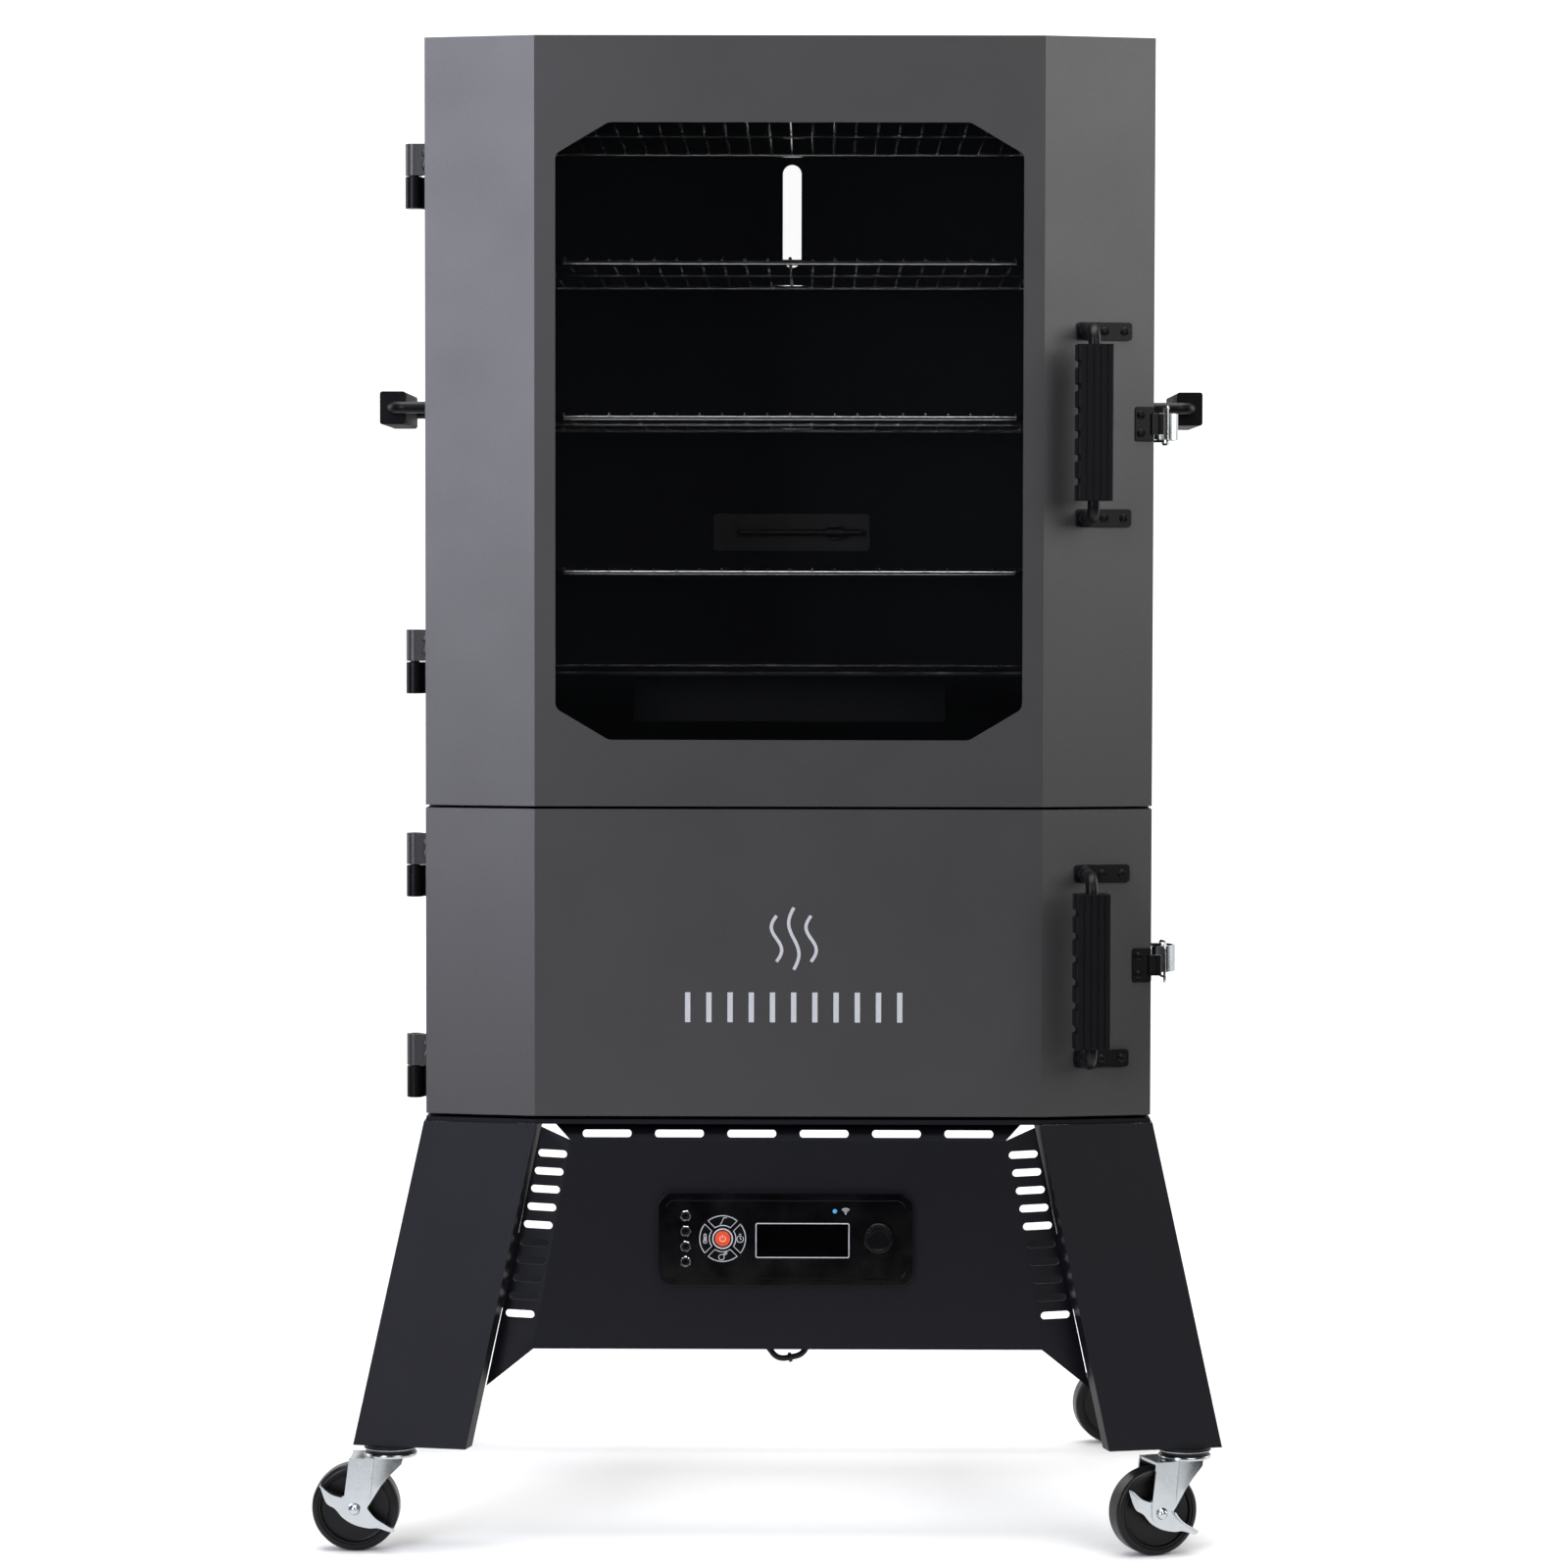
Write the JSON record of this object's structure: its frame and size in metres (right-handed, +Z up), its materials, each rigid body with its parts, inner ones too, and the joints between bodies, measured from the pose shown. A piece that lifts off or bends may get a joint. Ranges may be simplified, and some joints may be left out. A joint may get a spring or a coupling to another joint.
{
  "type": "electric cabinet smoker",
  "caption": "Tall two-door cabinet smoker with a glazed upper door, wire racks, side handles, draw latches and a splayed stand on swivel casters with a front control panel.",
  "frame": {"origin": "on the floor under the middle of the cabinet", "axes": "+X to the right as seen from the front, +Y to the back, +Z up"},
  "size_m": [0.7981, 0.602, 1.3135],
  "materials": {
    "door_paint": "satin metallic grey powder coat",
    "black_paint": "matte black powder coat",
    "inner_enamel": "black heat-proof enamel",
    "black_plastic": "fine-textured moulded black",
    "gloss_black": "glossy black",
    "grip_plastic": "textured heat-proof grip",
    "black_steel": "satin black coated steel",
    "zinc": "bright zinc plate",
    "wire_steel": "chrome-plated wire",
    "heater_steel": "heat-dulled steel",
    "glass": "dark tempered glass",
    "rope": "woven glass-fibre rope",
    "wheel_plastic": "black moulded wheel",
    "power_red": "backlit orange-red",
    "lead": "black lead jacket"
  },
  "bodies": {
    "cabinet": {"cabinet_side_left": "black_paint", "cabinet_side_right": "black_paint", "cabinet_back": "black_paint", "cabinet_top": "black_paint", "cabinet_floor": "black_paint", "front_frame": "inner_enamel", "door_gaskets": "rope", "cabinet_hinges": "black_steel", "side_handle_bars": "black_steel", "side_handle_grips": "grip_plastic", "latch_bases": "black_steel", "cabinet_screws": "black_steel", "wire_racks": "wire_steel", "water_pan": "inner_enamel", "chip_tray": "inner_enamel", "heating_element": "heater_steel", "temperature_sensor": "heater_steel", "front_legs": "black_paint", "rear_legs": "black_paint", "stand_apron": "black_paint", "rear_brace": "black_paint", "electronics_box": "black_plastic", "controller_bezel": "black_plastic", "display_window": "gloss_black", "probe_jacks": "zinc", "harness": "lead", "caster_mounts": "zinc"},
    "upper_door": {"upper_door_panel": "door_paint", "upper_door_liner": "inner_enamel", "window_glass": "glass", "upper_handle_bar": "black_steel", "upper_handle_grip": "grip_plastic", "upper_keeper": "black_steel", "upper_door_screws": "black_steel"},
    "lower_door": {"lower_door_panel": "door_paint", "lower_door_liner": "inner_enamel", "lower_handle_bar": "black_steel", "lower_handle_grip": "grip_plastic", "lower_keeper": "black_steel", "lower_door_screws": "black_steel"},
    "upper_lever": {"upper_latch_lever": "zinc"},
    "upper_bail": {"upper_latch_bail": "zinc"},
    "lower_lever": {"lower_latch_lever": "zinc"},
    "lower_bail": {"lower_latch_bail": "zinc"},
    "power_button": {"power_button": "power_red"},
    "probe_button": {"probe_button": "black_plastic"},
    "timer_button": {"timer_button": "black_plastic"},
    "temperature_button": {"temperature_button": "black_plastic"},
    "meat_button": {"meat_button": "black_plastic"},
    "control_knob": {"control_knob": "black_plastic"},
    "front_left_swivel": {"front_left_fork": "zinc"},
    "front_left_wheel": {"front_left_wheel": "wheel_plastic"},
    "front_left_brake": {"front_left_brake": "zinc"},
    "front_right_swivel": {"front_right_fork": "zinc"},
    "front_right_wheel": {"front_right_wheel": "wheel_plastic"},
    "front_right_brake": {"front_right_brake": "zinc"},
    "rear_left_swivel": {"rear_left_fork": "zinc"},
    "rear_left_wheel": {"rear_left_wheel": "wheel_plastic"},
    "rear_right_swivel": {"rear_right_fork": "zinc"},
    "rear_right_wheel": {"rear_right_wheel": "wheel_plastic"}
  },
  "joints": [
    {"name": "upper_door_hinge", "type": "hinge", "parent": "cabinet", "child": "upper_door", "pos_m": [-0.3285, -0.197, 0.9825], "axis": [0, 0, -1], "range_deg": [0, 165]},
    {"name": "lower_door_hinge", "type": "hinge", "parent": "cabinet", "child": "lower_door", "pos_m": [-0.3285, -0.197, 0.509], "axis": [0, 0, -1], "range_deg": [0, 165]},
    {"name": "upper_latch_pivot", "type": "hinge", "parent": "cabinet", "child": "upper_lever", "pos_m": [0.325, -0.172, 0.981], "axis": [0, 0, -1], "range_deg": [0, 110]},
    {"name": "upper_bail_pivot", "type": "hinge", "parent": "upper_lever", "child": "upper_bail", "pos_m": [0.3295, -0.16, 0.981], "axis": [0, 0, -1], "range_deg": [-110, 0]},
    {"name": "lower_latch_pivot", "type": "hinge", "parent": "cabinet", "child": "lower_lever", "pos_m": [0.325, -0.172, 0.511], "axis": [0, 0, -1], "range_deg": [0, 110]},
    {"name": "lower_bail_pivot", "type": "hinge", "parent": "lower_lever", "child": "lower_bail", "pos_m": [0.3295, -0.16, 0.511], "axis": [0, 0, -1], "range_deg": [-110, 0]},
    {"name": "front_left_swivel_turn", "type": "hinge", "parent": "cabinet", "child": "front_left_swivel", "pos_m": [-0.346, -0.254, 0.088], "axis": [0, 0, 1], "continuous": true},
    {"name": "front_left_wheel_spin", "type": "hinge", "parent": "front_left_swivel", "child": "front_left_wheel", "pos_m": [-0.376, -0.254, 0.0381], "axis": [0, 1, 0], "continuous": true},
    {"name": "front_left_brake_tilt", "type": "hinge", "parent": "front_left_swivel", "child": "front_left_brake", "pos_m": [-0.376, -0.254, 0.0381], "axis": [0, -1, 0], "range_deg": [0, 18]},
    {"name": "front_right_swivel_turn", "type": "hinge", "parent": "cabinet", "child": "front_right_swivel", "pos_m": [0.346, -0.254, 0.088], "axis": [0, 0, 1], "continuous": true},
    {"name": "front_right_wheel_spin", "type": "hinge", "parent": "front_right_swivel", "child": "front_right_wheel", "pos_m": [0.31781, -0.26426, 0.0381], "axis": [-0.342, 0.9397, 0], "continuous": true},
    {"name": "front_right_brake_tilt", "type": "hinge", "parent": "front_right_swivel", "child": "front_right_brake", "pos_m": [0.31781, -0.26426, 0.0381], "axis": [0.342, -0.9397, 0], "range_deg": [0, 18]},
    {"name": "rear_left_swivel_turn", "type": "hinge", "parent": "cabinet", "child": "rear_left_swivel", "pos_m": [-0.346, 0.262, 0.088], "axis": [0, 0, 1], "continuous": true},
    {"name": "rear_left_wheel_spin", "type": "hinge", "parent": "rear_left_swivel", "child": "rear_left_wheel", "pos_m": [-0.376, 0.262, 0.0381], "axis": [0, 1, 0], "continuous": true},
    {"name": "rear_right_swivel_turn", "type": "hinge", "parent": "cabinet", "child": "rear_right_swivel", "pos_m": [0.346, 0.262, 0.088], "axis": [0, 0, 1], "continuous": true},
    {"name": "rear_right_wheel_spin", "type": "hinge", "parent": "rear_right_swivel", "child": "rear_right_wheel", "pos_m": [0.31629, 0.25783, 0.0381], "axis": [-0.1392, 0.9903, 0], "continuous": true},
    {"name": "power_press", "type": "slide", "parent": "cabinet", "child": "power_button", "axis": [0, 1, 0], "range_m": [0, 0.0012], "stiffness_N_per_m": 600, "springref_m": -0.0008},
    {"name": "probe_press", "type": "slide", "parent": "cabinet", "child": "probe_button", "axis": [0, 1, 0], "range_m": [0, 0.0009], "stiffness_N_per_m": 600, "springref_m": -0.0008},
    {"name": "timer_press", "type": "slide", "parent": "cabinet", "child": "timer_button", "axis": [0, 1, 0], "range_m": [0, 0.0009], "stiffness_N_per_m": 600, "springref_m": -0.0008},
    {"name": "temperature_press", "type": "slide", "parent": "cabinet", "child": "temperature_button", "axis": [0, 1, 0], "range_m": [0, 0.0009], "stiffness_N_per_m": 600, "springref_m": -0.0008},
    {"name": "meat_press", "type": "slide", "parent": "cabinet", "child": "meat_button", "axis": [0, 1, 0], "range_m": [0, 0.0009], "stiffness_N_per_m": 600, "springref_m": -0.0008},
    {"name": "knob_turn", "type": "hinge", "parent": "cabinet", "child": "control_knob", "pos_m": [0.0788, -0.27, 0.2754], "axis": [0, -1, 0], "continuous": true}
  ],
  "couplings": [
    {"joint": "upper_bail_pivot", "follows": "upper_latch_pivot", "ratio": -1},
    {"joint": "lower_bail_pivot", "follows": "lower_latch_pivot", "ratio": -1}
  ]
}
